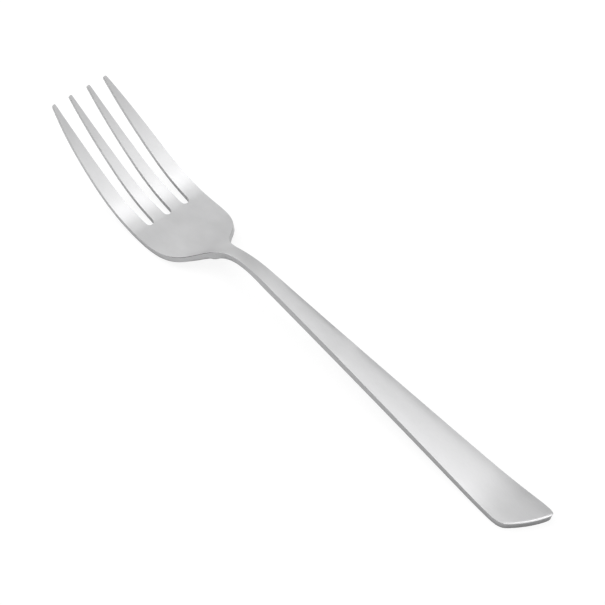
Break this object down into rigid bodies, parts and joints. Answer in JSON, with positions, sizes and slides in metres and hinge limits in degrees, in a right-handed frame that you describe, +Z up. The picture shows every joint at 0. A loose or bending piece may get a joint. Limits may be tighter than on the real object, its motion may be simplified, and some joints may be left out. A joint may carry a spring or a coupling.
{
  "type": "dinner fork",
  "caption": "Slim satin steel dinner fork with a narrow neck, a rounded palm, tapered tines and a flat handle that widens to a slanted end.",
  "frame": {"origin": "on the table, under the middle of the fork as it lies tines up", "axes": "+Y from the handle's end to the tines' tips, +X across, to the right seen from the handle, +Z up"},
  "size_m": [0.0272, 0.2006, 0.0238],
  "materials": {
    "satin_steel": "satin stainless steel, finely brushed, with bright broken edges"
  },
  "bodies": {
    "root": {"fork": "satin_steel"}
  },
  "joints": []
}
